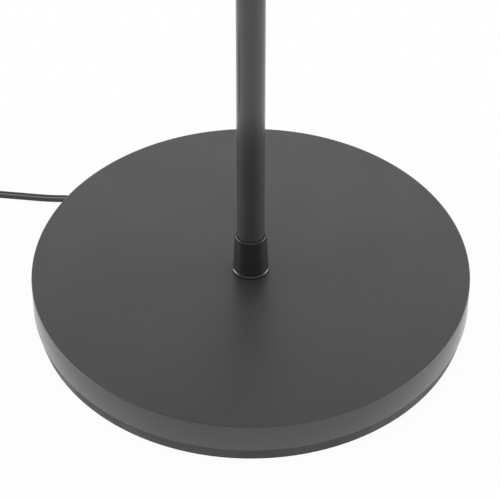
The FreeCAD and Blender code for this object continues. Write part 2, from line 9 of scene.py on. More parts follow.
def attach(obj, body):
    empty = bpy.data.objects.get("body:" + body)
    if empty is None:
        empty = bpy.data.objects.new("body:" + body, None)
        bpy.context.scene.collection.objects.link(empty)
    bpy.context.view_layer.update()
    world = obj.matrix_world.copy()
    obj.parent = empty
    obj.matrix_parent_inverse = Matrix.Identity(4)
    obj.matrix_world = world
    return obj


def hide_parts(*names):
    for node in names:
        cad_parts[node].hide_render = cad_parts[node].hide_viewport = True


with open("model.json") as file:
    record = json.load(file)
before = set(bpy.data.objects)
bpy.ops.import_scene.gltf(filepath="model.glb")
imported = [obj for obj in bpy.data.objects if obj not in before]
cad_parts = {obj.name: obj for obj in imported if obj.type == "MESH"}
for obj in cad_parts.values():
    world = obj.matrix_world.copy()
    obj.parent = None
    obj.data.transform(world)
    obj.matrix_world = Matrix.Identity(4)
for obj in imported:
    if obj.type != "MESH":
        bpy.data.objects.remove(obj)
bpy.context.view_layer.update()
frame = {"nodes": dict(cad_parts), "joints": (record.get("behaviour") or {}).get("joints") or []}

MM = 0.001

# ---- sizes of the lamp, millimetres -------------------------------------------------------------
FOOT_R, FOOT_TOP, COVER_T, COVER_LIP = 127.0, 27.4, 1.5, 8.8
WEIGHT_R, WEIGHT_TOP, PAD_T = 125.3, 13.0, 0.8
HUB_R, RIM_RING = 34.0, (109.0, 116.0)
CHANNEL_W, CHANNEL_TOP, CORD_ANGLE = 7.4, 8.4, 141.0
COLLAR_H = 26.7
POLE_R, POLE_WALL, SECTION_L = 8.0, 1.0, 400.0
POLE_TOP = FOOT_TOP + 3 * SECTION_L
CAP_R, CAP_H, FERRULE_R, FERRULE_H = 9.0, 20.0, 7.2, 15.0
NECK_R, NECK_VALLEY_R, LINK_L, COILS_PER_LINK = 6.0, 5.35, 22.0, 8
HINGES = 18
NECK_INNER_R, CORE_R, SLEEVE_SLACK = 5.3, 4.95, 0.05
HEAD_FERRULE_END, CUP_END, HOLDER_R, HOLDER_END = 18.0, 60.0, 17.5, 68.0
SHADE_TOP_R, SHADE_BAND_R, SHADE_MOUTH_R, SHADE_END, SHADE_T = 22.5, 68.5, 70.0, 180.0, 0.8
SHADE_BAND_Z = 169.0

# mains lead: a twin flat flex, half as thick as it is wide
FLEX_W, FLEX_T = 5.2, 2.6
FLEX_Z = 1.35                # height of its middle where it lies on the floor
EXIT_Z, CORD_START, CORD_FIRST = 4.8, 125.0, 138.9
COIL_X, COIL_Y, COIL_R, COIL_PITCH = -212.0, 54.8, 43.0, 5.7
HALF_TURNS_IN, HALF_TURNS_OUT, LAYER_RISE = 8, 7, 2.75
POINTS_PER_HALF_TURN = 8
PLUG_Z, PLUG_AT, PLUG_L = 6.5, 54, 34    # height, from the coil's middle to the plug, its length


# ---- camera and stage ---------------------------------------------------------------------------
def place_camera():
    """A long lens looking down at the foot, as in the photograph."""
    elevation, distance, focal_px, frame_px = math.radians(42.815), 1350.0, 2326.8, 500.0
    aim = Vector((-0.435, 15.03, FOOT_TOP)) * MM
    data = bpy.data.cameras.new("photo_camera")
    data.sensor_width, data.sensor_fit = 36.0, "HORIZONTAL"
    data.lens = data.sensor_width * focal_px / frame_px
    data.clip_start, data.clip_end = 0.05, 50.0
    camera = bpy.data.objects.new("photo_camera", data)
    bpy.context.scene.collection.objects.link(camera)
    back, up = distance * math.cos(elevation), distance * math.sin(elevation)
    camera.location = Vector((0, -back, FOOT_TOP + up)) * MM
    camera.rotation_euler = (aim - camera.location).to_track_quat("-Z", "Y").to_euler()
    bpy.context.scene.camera = camera


def seen_directly(nodes, links):
    """A value that is 1 for camera, glossy and transmission rays."""
    rays = nodes.new("ShaderNodeLightPath")
    first = nodes.new("ShaderNodeMath")
    second = nodes.new("ShaderNodeMath")
    for node in (first, second):
        node.operation = "MAXIMUM"
    links.new(rays.outputs["Is Camera Ray"], first.inputs[0])
    links.new(rays.outputs["Is Glossy Ray"], first.inputs[1])
    links.new(first.outputs[0], second.inputs[0])
    links.new(rays.outputs["Is Transmission Ray"], second.inputs[1])
    return second.outputs[0]


def white_floor():
    """A pale floor that reads as white but keeps the lamp's shadow."""
    bpy.ops.object.select_all(action="DESELECT")
    bpy.ops.mesh.primitive_plane_add(size=12.0, location=(0, 0, 0))
    floor = bpy.context.object
    floor.name = "studio_floor"
    material = bpy.data.materials.new("studio_floor")
    material.use_nodes = True
    nodes, links = material.node_tree.nodes, material.node_tree.links
    nodes.clear()
    out = nodes.new("ShaderNodeOutputMaterial")
    matte = nodes.new("ShaderNodeBsdfDiffuse")
    matte.inputs["Color"].default_value = (0.94, 0.94, 0.94, 1)
    glow = nodes.new("ShaderNodeEmission")
    glow.inputs["Color"].default_value = (1, 1, 1, 1)
    glow.inputs["Strength"].default_value = 1.0
    share = nodes.new("ShaderNodeMath")
    share.operation = "MULTIPLY"
    share.inputs[1].default_value = 0.955
    mix = nodes.new("ShaderNodeMixShader")
    links.new(seen_directly(nodes, links), share.inputs[0])
    links.new(share.outputs[0], mix.inputs["Fac"])
    links.new(matte.outputs[0], mix.inputs[1])
    links.new(glow.outputs[0], mix.inputs[2])
    links.new(mix.outputs[0], out.inputs["Surface"])
    floor.data.materials.append(material)


def soft_light(name, place, size, watts):
    data = bpy.data.lights.new(name, "AREA")
    data.shape, data.size, data.size_y, data.energy = "RECTANGLE", size[0], size[1], watts
    lamp = bpy.data.objects.new(name, data)
    bpy.context.scene.collection.objects.link(lamp)
    lamp.location = place
    lamp.rotation_euler = (Vector((0, 0, 0.1)) - lamp.location).to_track_quat("-Z", "Y").to_euler()


def studio_light():
    """A white surround, a large soft box on each side and a small one behind."""
    world = bpy.data.worlds.new("studio_surround")
    bpy.context.scene.world = world
    world.use_nodes = True
    nodes, links = world.node_tree.nodes, world.node_tree.links
    nodes.clear()
    out = nodes.new("ShaderNodeOutputWorld")
    dim, bright, mix = (nodes.new("ShaderNodeBackground"), nodes.new("ShaderNodeBackground"),
                        nodes.new("ShaderNodeMixShader"))
    dim.inputs["Strength"].default_value = 0.55
    bright.inputs["Strength"].default_value = 1.0
    for node in (dim, bright):
        node.inputs["Color"].default_value = (1, 1, 1, 1)
    links.new(seen_directly(nodes, links), mix.inputs["Fac"])
    links.new(dim.outputs[0], mix.inputs[1])
    links.new(bright.outputs[0], mix.inputs[2])
    links.new(mix.outputs[0], out.inputs["Surface"])
    soft_light("box_left", (-2.2, 0.2, 0.5), (2.0, 0.9), 44)
    soft_light("box_right", (2.2, 0.2, 0.5), (2.0, 0.9), 40)
    soft_light("box_back", (0.0, 2.4, 1.7), (2.6, 1.2), 6)
    bpy.context.scene.view_settings.view_transform = "Standard"


# ---- finishes -----------------------------------------------------------------------------------
def new_finish(name, colour, roughness, metallic=0.0):
    """A principled material and a maker of nodes in it."""
    material = bpy.data.materials.new(name)
    material.use_nodes = True
    tree = material.node_tree
    shader = tree.nodes["Principled BSDF"]
    shader.inputs["Base Color"].default_value = (*colour, 1)
    shader.inputs["Roughness"].default_value = roughness
    shader.inputs["Metallic"].default_value = metallic
    place = tree.nodes.new("ShaderNodeTexCoord")
    return material, tree, shader, place.outputs["Object"]


def noise(tree, where, scale, detail=2.0, stretch=None):
    node = tree.nodes.new("ShaderNodeTexNoise")
    node.inputs["Scale"].default_value = scale
    node.inputs["Detail"].default_value = detail
    if stretch:
        mapping = tree.nodes.new("ShaderNodeMapping")
        mapping.inputs["Scale"].default_value = stretch
        tree.links.new(where, mapping.inputs["Vector"])
        where = mapping.outputs[0]
    tree.links.new(where, node.inputs["Vector"])
    return node.outputs["Fac"]


def ranged(tree, value, low, high, target):
    """Sends a 0 to 1 value to a socket as low to high."""
    node = tree.nodes.new("ShaderNodeMapRange")
    node.inputs["From Min"].default_value = 0.3
    node.inputs["From Max"].default_value = 0.7
    node.inputs["To Min"].default_value = low
    node.inputs["To Max"].default_value = high
    tree.links.new(value, node.inputs["Value"])
    tree.links.new(node.outputs[0], target)


def tinted(tree, shader, value, dark, light):
    """Varies the base colour between two colours."""
    ramp = tree.nodes.new("ShaderNodeValToRGB")
    ramp.color_ramp.elements[0].position, ramp.color_ramp.elements[1].position = 0.35, 0.65
    ramp.color_ramp.elements[0].color = (*dark, 1)
    ramp.color_ramp.elements[1].color = (*light, 1)
    tree.links.new(value, ramp.inputs["Fac"])
    tree.links.new(ramp.outputs["Color"], shader.inputs["Base Color"])


def bumped(tree, shader, value, depth_mm, strength=1.0):
    node = tree.nodes.new("ShaderNodeBump")
    node.inputs["Strength"].default_value = strength
    node.inputs["Distance"].default_value = depth_mm * MM
    tree.links.new(value, node.inputs["Height"])
    tree.links.new(node.outputs["Normal"], shader.inputs["Normal"])


def powder_coat(name, grey, roughness=(0.36, 0.46), depth=0.012):
    """Baked powder paint: fine orange peel, faint cloudiness."""
    material, tree, shader, where = new_finish(name, (grey,) * 3, roughness[0])
    tinted(tree, shader, noise(tree, where, 14, 3), (grey * 0.92,) * 3, (grey * 1.08,) * 3)
    ranged(tree, noise(tree, where, 30, 3), roughness[0], roughness[1], shader.inputs["Roughness"])
    bumped(tree, shader, noise(tree, where, 1300, 2), depth)
    return material


def cover_coat(name, grey):
    """The cover's paint, which is smoother on the drawn wall than on the flat top."""
    material = powder_coat(name, grey, depth=0.006)
    tree = material.node_tree
    shader = tree.nodes["Principled BSDF"]
    cloudy = shader.inputs["Roughness"].links[0].from_socket
    split, wall, sheen, gloss = [tree.nodes.new(f"ShaderNode{kind}") for kind in
                                 ("SeparateXYZ", "MapRange", "MapRange", "Math")]
    place = next(node for node in tree.nodes if node.type == "TEX_COORD")
    tree.links.new(place.outputs["Object"], split.inputs[0])
    for node, low, high in ((wall, 0.55, 0.92), (sheen, 1.66, 1.5)):
        tree.links.new(split.outputs["Z"], node.inputs["Value"])
        node.inputs["From Min"].default_value = (FOOT_TOP - 0.6) * MM
        node.inputs["From Max"].default_value = (FOOT_TOP - 0.1) * MM
        node.inputs["To Min"].default_value, node.inputs["To Max"].default_value = low, high
    gloss.operation = "MULTIPLY"
    tree.links.new(cloudy, gloss.inputs[0])
    tree.links.new(wall.outputs[0], gloss.inputs[1])
    tree.links.new(gloss.outputs[0], shader.inputs["Roughness"])
    tree.links.new(sheen.outputs[0], shader.inputs["IOR"])
    return material


def cast_paint(name):
    """Thin paint over a sand casting."""
    material, tree, shader, where = new_finish(name, (0.03,) * 3, 0.55)
    tinted(tree, shader, noise(tree, where, 40, 4), (0.022,) * 3, (0.034,) * 3)
    ranged(tree, noise(tree, where, 90, 2), 0.42, 0.6, shader.inputs["Roughness"])
    bumped(tree, shader, noise(tree, where, 420, 4), 0.05)
    return material


def moulded_plastic(name, colour, roughness=(0.25, 0.36), depth=0.004):
    """Moulded plastic with a fine spark grain."""
    material, tree, shader, where = new_finish(name, colour, roughness[0])
    dark, light = [tuple(c * k for c in colour) for k in (0.88, 1.12)]
    tinted(tree, shader, noise(tree, where, 25, 2), dark, light)
    ranged(tree, noise(tree, where, 60, 3), roughness[0], roughness[1], shader.inputs["Roughness"])
    bumped(tree, shader, noise(tree, where, 2200, 1), depth)
    return material


def bare_metal(name, colour, roughness=(0.2, 0.38), stretch=(1, 1, 12)):
    """Turned or drawn metal with fine lines across its axis."""
    material, tree, shader, where = new_finish(name, colour, roughness[0], metallic=1.0)
    lines = noise(tree, where, 260, 3, stretch)
    ranged(tree, lines, roughness[0], roughness[1], shader.inputs["Roughness"])
    dark, light = [tuple(c * k for c in colour) for k in (0.9, 1.05)]
    tinted(tree, shader, noise(tree, where, 60, 2), dark, light)
    bumped(tree, shader, lines, 0.004)
    return material


def foam_rubber(name):
    material, tree, shader, where = new_finish(name, (0.02,) * 3, 0.9)
    tinted(tree, shader, noise(tree, where, 300, 3), (0.014,) * 3, (0.028,) * 3)
    bumped(tree, shader, noise(tree, where, 1500, 3), 0.06)
    return material


def flex_sheath(name):
    """Smooth dark sheath with faint drawing lines along it, and a painted highlight: a paler grey band of
    colour along the web between the cores.
    """
    material, tree, shader, _ = new_finish(name, (0.02, 0.02, 0.019), 0.3)
    along = tree.nodes.new("ShaderNodeUVMap")
    lines = noise(tree, along.outputs[0], 40, 3, (1, 14, 1))
    ranged(tree, lines, 0.2, 0.34, shader.inputs["Roughness"])
    bumped(tree, shader, lines, 0.006)
    # painted highlight: the ramp below paints the web between the cores pale grey, where the sheath is really
    # as dark as elsewhere
    split, web = tree.nodes.new("ShaderNodeSeparateXYZ"), tree.nodes.new("ShaderNodeValToRGB")
    tree.links.new(along.outputs[0], split.inputs[0])
    tree.links.new(split.outputs["Y"], web.inputs["Fac"])
    web.color_ramp.elements[0].color = web.color_ramp.elements[1].color = (0.022, 0.022, 0.021, 1)
    for at, grey in ((0.455, 0.022), (0.46, 0.20), (0.495, 0.20), (0.50, 0.022)):
        web.color_ramp.elements.new(at).color = (grey, grey, grey, 1)
    tree.links.new(web.outputs["Color"], shader.inputs["Base Color"])
    return material


def opal(name):
    """Frosted dome of the bulb, slightly translucent."""
    material, tree, shader, where = new_finish(name, (0.88, 0.88, 0.85), 0.3)
    shader.inputs["Subsurface Weight"].default_value = 0.25
    shader.inputs["Subsurface Scale"].default_value = 0.002
    tinted(tree, shader, noise(tree, where, 50, 2), (0.86, 0.86, 0.83), (0.9, 0.9, 0.88))
    bumped(tree, shader, noise(tree, where, 1800, 1), 0.003)
    return material


def make_finishes():
    return {
        "cover": cover_coat("cover_powder_coat", 0.031),
        "tube": powder_coat("tube_powder_coat", 0.047, (0.14, 0.20), 0.004),
        "neck": powder_coat("neck_coating", 0.030, (0.28, 0.36), 0.004),
        "shade": powder_coat("shade_powder_coat", 0.034, (0.32, 0.42), 0.010),
        "enamel": powder_coat("shade_enamel_white", 0.80, (0.30, 0.40), 0.006),
        "casting": cast_paint("casting_paint"),
        "collar": moulded_plastic("collar_plastic", (0.018, 0.018, 0.018), (0.07, 0.12), 0.001),
        "holder": moulded_plastic("holder_moulding", (0.022, 0.021, 0.020), (0.3, 0.42)),
        "knob": moulded_plastic("knob_plastic", (0.014, 0.014, 0.015), (0.3, 0.4)),
        "housing": moulded_plastic("bulb_housing_white", (0.82, 0.82, 0.80), (0.25, 0.34)),
        "foam": foam_rubber("foam_pad"),
        "flex": flex_sheath("flex_sheath"),
        "plug": moulded_plastic("plug_moulding", (0.050, 0.050, 0.048), (0.38, 0.5), 0.008),
        "steel": bare_metal("zinc_plate", (0.62, 0.62, 0.60)),
        "brass": bare_metal("brass_strip", (0.80, 0.60, 0.30)),
        "nickel": bare_metal("nickel_cap", (0.74, 0.73, 0.70), (0.22, 0.36)),
        "opal": opal("bulb_opal"),
    }


# ---- modelling ----------------------------------------------------------------------------------
def softened(corners, steps=5):
    """A line through (r, z) corners in mm. A corner with a third number is rounded to that radius."""
    points, count = [], len(corners)
    for i, corner in enumerate(corners):
        here = Vector(corner[:2])
        if len(corner) < 3:
            points.append(here)
            continue
        back = (Vector(corners[i - 1][:2]) - here).normalized()
        ahead = (Vector(corners[(i + 1) % count][:2]) - here).normalized()
        half = back.angle(ahead) / 2
        cut = corner[2] / math.tan(half)
        centre = here + (back + ahead).normalized() * corner[2] / math.sin(half)
        start, end = [(here + way * cut - centre).normalized() for way in (back, ahead)]
        for k in range(steps + 1):
            points.append(centre + start.slerp(end, k / steps) * corner[2])
    return points


def lathe(name, corners, finish, body, replaced=(), steps=96, head=False, arc_steps=5):
    """Extrudes a closed half outline from one point, spins it about Z and closes it."""
    points = [Vector((p.x, 0, p.y)) * MM for p in softened(corners, arc_steps)]
    bpy.ops.object.select_all(action="DESELECT")
    bpy.ops.mesh.primitive_plane_add(size=MM)
    piece = bpy.context.object
    piece.name = piece.data.name = name
    bpy.ops.object.mode_set(mode="EDIT")
    bpy.ops.mesh.select_all(action="SELECT")
    bpy.ops.mesh.merge(type="CENTER")
    bpy.ops.transform.translate(value=points[0])
    for a, b in zip(points, points[1:] + points[:1]):
        bpy.ops.mesh.extrude_region_move(TRANSFORM_OT_translate={"value": b - a})
    bpy.ops.mesh.select_all(action="SELECT")
    bpy.ops.mesh.remove_doubles(threshold=1e-6)
    bpy.ops.mesh.select_all(action="SELECT")
    bpy.ops.mesh.spin(steps=steps, angle=math.tau, center=(0, 0, 0), axis=(0, 0, 1))
    bpy.ops.mesh.select_all(action="SELECT")
    bpy.ops.mesh.remove_doubles(threshold=1e-6)
    bpy.ops.mesh.normals_make_consistent(inside=False)
    bpy.ops.object.mode_set(mode="OBJECT")
    if head:
        piece.data.transform(HEAD_PLACE)
    return finished(piece, finish, body, replaced)


def finished(piece, finish, body, replaced=(), smooth=35):
    """Gives a piece its material, smooth shading, body and the sub-parts that it stands for."""
    piece.data.materials.clear()
    piece.data.materials.append(FINISH[finish])
    bpy.ops.object.select_all(action="DESELECT")
    piece.select_set(True)
    bpy.context.view_layer.objects.active = piece
    bpy.ops.object.shade_smooth_by_angle(angle=math.radians(smooth))
    if body:
        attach(piece, body)
    if replaced:
        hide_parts(*replaced)
    return piece


def cut_out(piece, cutters):
    """Cuts closed meshes out of a piece."""
    for cutter in cutters:
        modifier = piece.modifiers.new("cut", "BOOLEAN")
        modifier.operation, modifier.solver, modifier.object = "DIFFERENCE", "EXACT", cutter
        bpy.ops.object.select_all(action="DESELECT")
        piece.select_set(True)
        bpy.context.view_layer.objects.active = piece
        bpy.ops.object.modifier_apply(modifier=modifier.name)
        bpy.data.objects.remove(cutter)


def block(size, place, matrix=Matrix.Identity(4), bevel=0.0):
    """A cube of a size in mm at a place, its upright edges rounded, for cutting."""
    bpy.ops.object.select_all(action="DESELECT")
    bpy.ops.mesh.primitive_cube_add(size=1.0)
    cube = bpy.context.object
    cube.data.transform(Matrix.Diagonal((*[s * MM for s in size], 1)))
    if bevel:
        bpy.ops.object.mode_set(mode="EDIT")
        bpy.ops.mesh.select_all(action="SELECT")
        bpy.ops.mesh.bevel(offset=bevel * MM, segments=3)
        bpy.ops.object.mode_set(mode="OBJECT")
    cube.data.transform(matrix @ Matrix.Translation(Vector(place) * MM))
    return cube


# ---- foot and pole ------------------------------------------------------------------------------
def make_foot():
    r, top, t = FOOT_R, FOOT_TOP, COVER_T
    lathe("foot_cover", [(5.2, top), (r, top, 0.7), (r, COVER_LIP, 0.4), (r - t, COVER_LIP, 0.4),
                         (r - t, top - t, 0.5), (5.2, top - t)],
          "cover", "root", ["base_cover"], steps=320)
    under = top - t
    casting = lathe("foot_casting", [(5.4, PAD_T), (WEIGHT_R, PAD_T, 0.6), (WEIGHT_R, WEIGHT_TOP, 1.0),
                                     (RIM_RING[1], WEIGHT_TOP), (RIM_RING[1], under, 0.8),
                                     (RIM_RING[0], under, 0.8), (RIM_RING[0], WEIGHT_TOP),
                                     (HUB_R + 3, WEIGHT_TOP), (HUB_R, under), (5.4, under)],
                    "casting", "root", ["base_weight"], steps=240, arc_steps=3)
    turn = Matrix.Rotation(math.radians(CORD_ANGLE), 4, "Z")
    reach = WEIGHT_R + 10
    groove = block((reach, CHANNEL_W, CHANNEL_TOP + 4), (reach / 2, 0, CHANNEL_TOP / 2 - 2), turn)
    cut_out(casting, [groove])


def make_collar():
    z0, z1, bore = FOOT_TOP, FOOT_TOP + COLLAR_H, POLE_R + 0.05
    lathe("foot_collar", [(bore, z0), (10.7, z0, 0.25), (10.7, z0 + 1.3, 0.45), (10.25, z0 + 1.75, 0.2),
                          (9.25, z1, 0.55), (bore, z1, 0.15)],
          "collar", "root", ["pole_collar"], steps=128)


def make_pole():
    for k, part in enumerate(("lower", "middle", "upper")):
        low, high = FOOT_TOP + SECTION_L * k, FOOT_TOP + SECTION_L * (k + 1)
        lathe(f"pole_tube_{part}", [(POLE_R - POLE_WALL, low), (POLE_R, low, 0.45), (POLE_R, high, 0.45),
                                    (POLE_R - POLE_WALL, high)],
              "tube", "root", [f"pole_{part}"], steps=96)
    z = POLE_TOP
    lathe("pole_cap_turned", [(4.85, z), (POLE_R, z, 0.3), (CAP_R, z + 1.0, 0.4), (CAP_R, z + 11, 1.5),
                              (8.0, z + 15.5, 2.0), (FERRULE_R, z + CAP_H - 1, 0.4), (FERRULE_R, z + CAP_H),
                              (4.85, z + CAP_H)],
          "tube", "root", ["pole_top_cap"], steps=96)
    low, high, step = z + CAP_H, z + CAP_H + FERRULE_H, FERRULE_R - 0.55
    lathe("neck_ferrule_lower", [(4.85, low), (FERRULE_R, low, 0.3), (FERRULE_R, high - 6, 0.3),
                                 (step, high - 5.4, 0.2), (step, high - 4.6, 0.2), (FERRULE_R, high - 4, 0.3),
                                 (FERRULE_R, high, 0.7), (NECK_R + 0.08, high, 0.1), (NECK_R + 0.08, low + 3),
                                 (4.85, low + 3)],
          "tube", "root", ["neck_base_ferrule"], steps=96)


# ---- neck ---------------------------------------------------------------------------------------
def neck_line():
    """The neck's middle line as stored: up, round a half circle and down, through both end hinges."""
    first, last = [Vector(JOINT_AT[name]) for name in (FIRST_HINGE, LAST_HINGE)]
    bend_r = abs(last.y - first.y) / 2
    run = LINK_L * MM * (HINGES - 1)
    straight = (run - math.pi * bend_r - (first.z - last.z)) / 2

    def at(s):
        """The point at a distance along the line from the first hinge, and the direction across it."""
        if s <= straight:
            return first + Vector((0, 0, s)), Vector((0, 1, 0))
        turn = (s - straight) / bend_r
        centre = first + Vector((0, -bend_r, straight))
        if turn < math.pi:
            across = Vector((0, math.cos(turn), math.sin(turn)))
            return centre + across * bend_r, across
        below = s - straight - math.pi * bend_r
        return centre + Vector((0, -bend_r, -below)), Vector((0, -1, 0))
    return at


def room_at(hinge, x, y):
    """How far a sleeve keeps from a hinge's plane at a point, so that two only meet at the joint's limit."""
    low, high = [math.radians(limit) for limit in HINGE_RANGES[hinge]]
    if "lean" in hinge:
        swing = abs(x) * math.tan(high / 2)
    else:
        swing = y * math.tan(-low / 2) if y > 0 else -y * math.tan(high / 2)
    return swing + SLEEVE_SLACK * MM


def wound_sleeve(turns):
    """A closed sleeve of round wire wound with a filler between its turns."""
    pitch, deep = LINK_L / COILS_PER_LINK, NECK_R - NECK_VALLEY_R
    crest = [(0.0, 0.0), (0.1, 0.42), (0.22, 0.78), (0.36, 0.97), (0.5, 1.0), (0.64, 0.97), (0.78, 0.78),
             (0.9, 0.42)]
    outer = [(NECK_VALLEY_R + deep * height, pitch * (turn + share)) for turn in range(turns)
             for share, height in crest]
    return lathe("neck_pattern", [(NECK_INNER_R, 0.0)] + outer + [(NECK_VALLEY_R, pitch * turns),
                                                                 (NECK_INNER_R, pitch * turns)],
                 "neck", None, steps=32)


def wound_core():
    """The round core that shows where the turns part at a hinge."""
    angles = [math.radians(d) for d in range(12, 169, 12)]
    arc = [(CORE_R * math.sin(a), -CORE_R * math.cos(a)) for a in angles]
    return lathe("core_pattern", [(0.001, -CORE_R)] + arc + [(0.001, CORE_R)],
                 "neck", None, steps=32)


def neck_copy(pattern, name):
    """A linked-in object with a mesh of its own, still unfinished."""
    piece = bpy.data.objects.new(name, pattern.data.copy())
    bpy.context.scene.collection.objects.link(piece)
    return piece


def make_neck():
    """A sleeve on every link, a short one in each ferrule, and a core at every hinge."""
    at, link, half = neck_line(), LINK_L * MM, LINK_L * MM / 2
    sideways = Vector((1, 0, 0))
    bodies = ["root"] + [f"neck_{k:02d}" for k in range(1, HINGES)] + ["head"]
    whole, short, core = wound_sleeve(COILS_PER_LINK), wound_sleeve(COILS_PER_LINK // 2), wound_core()
    for k, body in enumerate(bodies):
        below, above = HINGE_NAMES[k - 1] if k else None, HINGE_NAMES[k] if k < HINGES else None
        inner = below and above
        sleeve = neck_copy(whole if inner else short, f"neck_sleeve_{k:02d}")
        start, length = (k - 1) * link if below else -half, link if inner else half
        for vertex in sleeve.data.vertices:
            x, y, z = vertex.co
            first, last = [room_at(hinge, x, y) if hinge else 0.0 for hinge in (below, above)]
            point, across = at(start + first + z / length * (length - first - last))
            vertex.co = point + sideways * x + across * y
        finished(sleeve, "neck", body, [f"neck_link_{k:02d}"] if inner else [], smooth=60)
    for k in range(HINGES):
        ball = neck_copy(core, f"neck_core_{k + 1:02d}")
        point, across = at(k * link)
        for vertex in ball.data.vertices:
            x, y, z = vertex.co
            vertex.co = point + sideways * x + across * y + sideways.cross(across) * z
        finished(ball, "neck", bodies[k] if k < HINGES - 1 else "head", [], smooth=60)
    for pattern in (whole, short, core):
        bpy.data.objects.remove(pattern)


# ---- head, built along +Z from the last hinge ---------------------------------------------------
def make_head_ferrule():
    low, end, step = 0.0, HEAD_FERRULE_END, FERRULE_R - 0.55
    lathe("neck_ferrule_upper", [(4.0, low + 9), (NECK_R + 0.08, low + 9), (NECK_R + 0.08, low + 0.95, 0.1),
                                 (FERRULE_R, low + 0.95, 0.7), (FERRULE_R, low + 4.9, 0.3),
                                 (step, low + 5.5, 0.2), (step, low + 6.3, 0.2), (FERRULE_R, low + 6.9, 0.3),
                                 (FERRULE_R, end - 3.2, 0.4), (9.0, end - 1, 0.3), (9.0, end, 0.2),
                                 (4.0, end)],
          "tube", "head", ["head_ferrule"], head=True)


def make_socket_cup():
    top, end, wide, t = HEAD_FERRULE_END, CUP_END, 21.5, 1.2
    cup = lathe("socket_cup_spun", [(5.0, top), (12.0, top, 1.0), (wide, top + 9.5, 6.5), (wide, end, 0.3),
                                    (wide - t, end, 0.3), (wide - t, top + 10.5, 5.6), (11.4, top + t, 0.8),
                                    (5.0, top + t)],
                "shade", "head", ["socket_cup"], steps=128, head=True)
    cutters = []
    for k in range(6):
        turn = Matrix.Rotation(math.radians(30 + 60 * k), 4, "Z")
        cutters.append(block((8, 2.2, 9.0), (wide, 0, 37.0), HEAD_PLACE @ turn, bevel=0.9))
    cut_out(cup, cutters)
    finished(cup, "shade", None)


def make_lampholder():
    start = 23.4
    lathe("lampholder_moulding", [(5.0, start), (9.0, start, 0.4), (9.0, start + 2.6, 0.4),
                                  (HOLDER_R, start + 2.6, 2.0), (HOLDER_R, HOLDER_END, 0.8),
                                  (14.0, HOLDER_END, 0.8), (14.0, 31.0, 0.5), (2.2, 31.0), (2.2, 27.4),
                                  (5.0, 27.4)],
          "holder", "head", ["lampholder_body"], head=True)


def make_shade():
    """Spun cone with a rolled rim, black outside and white enamel inside."""
    t, seat, end = SHADE_T, CUP_END, SHADE_END
    bead = 1.25
    rim = [(SHADE_MOUTH_R - bead + bead * math.sin(a), end - bead - bead * math.cos(a))
           for a in [math.radians(d) for d in range(20, 341, 32)]]
    corners = ([(HOLDER_R + 0.2, seat), (SHADE_TOP_R, seat, 1.6), (SHADE_BAND_R, SHADE_BAND_Z, 6.0)] + rim
               + [(SHADE_BAND_R - t, SHADE_BAND_Z, 6.0), (SHADE_TOP_R - t, seat + t, 1.0),
                  (HOLDER_R + 0.2, seat + t)])
    piece = lathe("shade_spun", corners, "shade", "head", ["shade"],
                  steps=192, head=True)
    piece.data.materials.append(FINISH["enamel"])
    inside_top = HEAD_Z - (seat + t * 0.5) * MM
    for face in piece.data.polygons:
        across = Vector((face.center.x, face.center.y - HEAD_Y, 0))
        inward = face.normal.dot(across) < 0 or (face.normal.z < -0.9 and across.length < SHADE_TOP_R * MM)
        if inward and HEAD_Z - face.center.z < (end - bead) * MM and face.center.z < inside_top:
            face.material_index = 1


def make_bulb():
    low, collar, waist, join = 33.4, 60.0, 68.5, 102.0
    threads = [(0.001, low), (3.8, low + 0.2, 0.4), (4.8, low + 1.6, 0.3), (12.5, low + 2.6, 0.8)]
    turns, base = 6, low + 3.6
    pitch = (collar - base - 3.0) / turns
    for k in range(turns):
        threads += [(13.1, base + pitch * (k + 0.5), 0.8), (12.5, base + pitch * (k + 1), 0.8)]
    lathe("bulb_screw_cap", threads + [(12.5, collar), (0.001, collar)], "nickel", "head",
          ["bulb_cap"], head=True)
    flank = [(15.6 + 12.6 * math.sin(u * math.pi / 2) ** 1.15, 71.0 + 29.0 * u) for u in
             [i / 10 for i in range(11)]]
    lathe("bulb_lower_half", [(0.001, collar), (12.9, collar, 0.4), (12.9, waist, 1.0),
                              (15.0, 70.4, 0.8)] + flank
          + [(28.2, join, 0.3), (0.001, join)], "housing", "head", ["bulb_housing"], head=True,
          steps=128)
    dome = [(30.0 * math.cos(a), 112.0 + 30.0 * math.sin(a)) for a in
            [math.radians(d) for d in range(-18, 90, 6)]]
    lathe("bulb_dome", [(0.001, join), (28.0, join, 0.3)] + dome + [(0.001, 142.0)],
          "opal", "head",
          ["bulb_globe"], head=True, steps=128)


# ---- mains lead ---------------------------------------------------------------------------------
def polar(radius, degrees, z):
    a = math.radians(degrees)
    return Vector((radius * math.cos(a), radius * math.sin(a), z))


